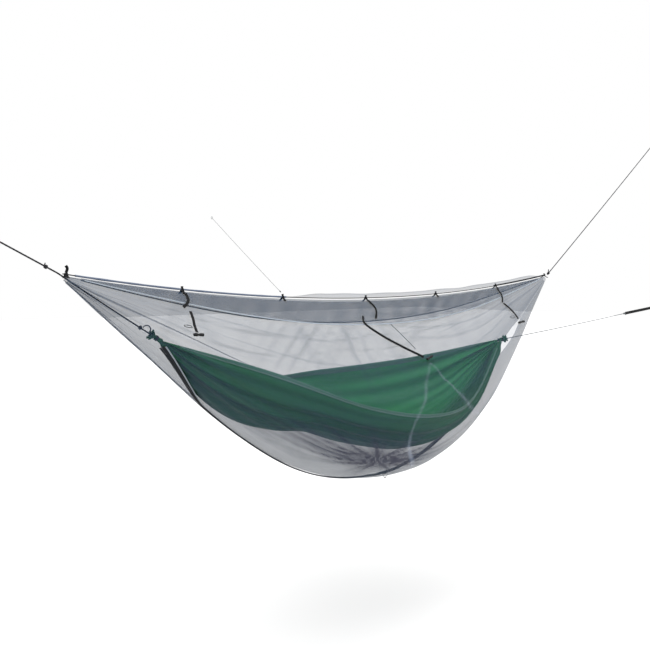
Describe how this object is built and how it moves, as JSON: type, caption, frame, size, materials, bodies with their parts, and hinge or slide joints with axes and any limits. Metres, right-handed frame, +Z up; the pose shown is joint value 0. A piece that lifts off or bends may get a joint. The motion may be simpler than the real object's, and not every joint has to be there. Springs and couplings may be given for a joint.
{
  "type": "camping hammock",
  "caption": "Gathered-end camping hammock hung inside a full-enclosure insect net with ridge cord, roll-up ties, entry zip, suspension rope, guy and tree strap.",
  "frame": {"origin": "centre of the eye at the left end of the suspension rope, where the hammock hangs", "axes": "+X along the ridge from the left tip to the right tip, +Y away from the viewer, +Z up"},
  "size_m": [5.1049, 1.0506, 2.2594],
  "materials": {
    "insect_mesh": "fine knitted no-see-um mesh, see-through",
    "bed_nylon": "ripstop nylon with a soft sheen",
    "hem_tape": "folded nylon hem, matt",
    "black_cord": "braided polyester, matt",
    "grey_cord": "braided polyester, matt",
    "black_webbing": "flat woven webbing, matt",
    "zip_tape": "woven zip tape with moulded coil",
    "black_plastic": "satin moulded plastic"
  },
  "bodies": {
    "rigging": {"left_suspension_eye": "black_cord", "left_suspension_rope": "black_cord", "left_eye_splice": "black_cord", "left_stopper_knot": "black_cord", "right_guy_cord": "black_cord", "right_tip_knot": "black_cord", "right_guy_end_loop": "black_cord", "back_guyline": "grey_cord", "back_guyline_knot": "grey_cord", "back_guyline_loop": "grey_cord"},
    "net": {"net_near_panel": "insect_mesh", "net_far_panel": "insect_mesh", "ridge_band_near": "insect_mesh", "ridge_band_far": "insect_mesh", "ridge_cord": "black_cord", "ridge_tab_1": "black_webbing", "ridge_tab_2": "black_webbing", "ridge_tab_3": "black_webbing", "ridge_tab_4": "black_webbing", "ridge_tab_5": "black_webbing", "ridge_tab_6": "black_webbing", "ridge_tab_7": "black_webbing", "upper_tie_1": "black_webbing", "upper_tie_2": "black_webbing", "upper_tie_3": "black_webbing", "lower_tie_2": "black_webbing", "inner_tie_2": "black_cord", "zip_tape_near": "zip_tape", "zip_tape_far": "zip_tape", "zip_chain": "zip_tape"},
    "hammock": {"hammock_bed": "bed_nylon", "near_edge_hem": "hem_tape", "far_edge_hem": "hem_tape", "left_gather": "bed_nylon", "left_whipping": "black_cord", "right_gather": "bed_nylon", "right_whipping": "black_cord", "left_inner_rope": "black_cord", "left_end_knot": "black_cord", "left_end_bight": "black_cord", "right_rope": "grey_cord", "rope_to_strap_knot": "grey_cord", "tree_strap": "black_webbing", "tree_strap_loop": "black_webbing"},
    "free_tie_1": {"lower_tie_1": "black_webbing", "tie_loop_1": "black_cord"},
    "toggle_bar_1": {"toggle_1": "black_plastic"},
    "toggle_bar_2": {"toggle_2": "black_plastic"},
    "free_tie_3": {"lower_tie_3": "black_webbing", "tie_loop_3": "black_cord"},
    "toggle_bar_3": {"toggle_3": "black_plastic"},
    "zip_slider_body": {"zip_slider": "black_plastic"},
    "zip_pull": {"zip_pull_cord": "black_cord"}
  },
  "joints": [
    {"name": "hammock_swing", "type": "hinge", "parent": "rigging", "child": "hammock", "pos_m": [0.262, 0, -0.146], "axis": [0.9985, 0, -0.0544], "range_deg": [-6, 6]},
    {"name": "net_swing", "type": "hinge", "parent": "rigging", "child": "net", "pos_m": [0.262, 0, -0.146], "axis": [1, 0, 0], "range_deg": [-6, 6]},
    {"name": "free_tie_1_swing", "type": "hinge", "parent": "net", "child": "free_tie_1", "pos_m": [0.79329, -0.119, -0.31249], "axis": [-1, 0, 0], "range_deg": [0, 60]},
    {"name": "toggle_1_turn", "type": "hinge", "parent": "free_tie_1", "child": "toggle_bar_1", "pos_m": [0.76264, -0.25534, -0.40552], "axis": [0.2093, -0.569, 0.7952], "range_deg": [-20, 20]},
    {"name": "toggle_2_turn", "type": "hinge", "parent": "net", "child": "toggle_bar_2", "pos_m": [2.13935, -0.26864, -0.59862], "axis": [0.0281, -0.7616, 0.6474], "range_deg": [-20, 20]},
    {"name": "free_tie_3_swing", "type": "hinge", "parent": "net", "child": "free_tie_3", "pos_m": [2.98926, -0.08471, -0.32739], "axis": [-1, 0, 0], "range_deg": [0, 60]},
    {"name": "toggle_3_turn", "type": "hinge", "parent": "free_tie_3", "child": "toggle_bar_3", "pos_m": [3.0364, -0.18919, -0.44322], "axis": [-0.1269, -0.75, 0.6491], "range_deg": [-20, 20]},
    {"name": "zip_slide", "type": "slide", "parent": "net", "child": "zip_slider_body", "axis": [0.9978, 0, 0.0664], "range_m": [-0.04, 0.04]},
    {"name": "zip_pull_swing", "type": "hinge", "parent": "zip_slider_body", "child": "zip_pull", "pos_m": [2.06268, 0, -1.28161], "axis": [0.9978, 0, 0.0664], "range_deg": [-60, 60]}
  ],
  "couplings": [
    {"joint": "net_swing", "follows": "hammock_swing", "ratio": 1}
  ]
}
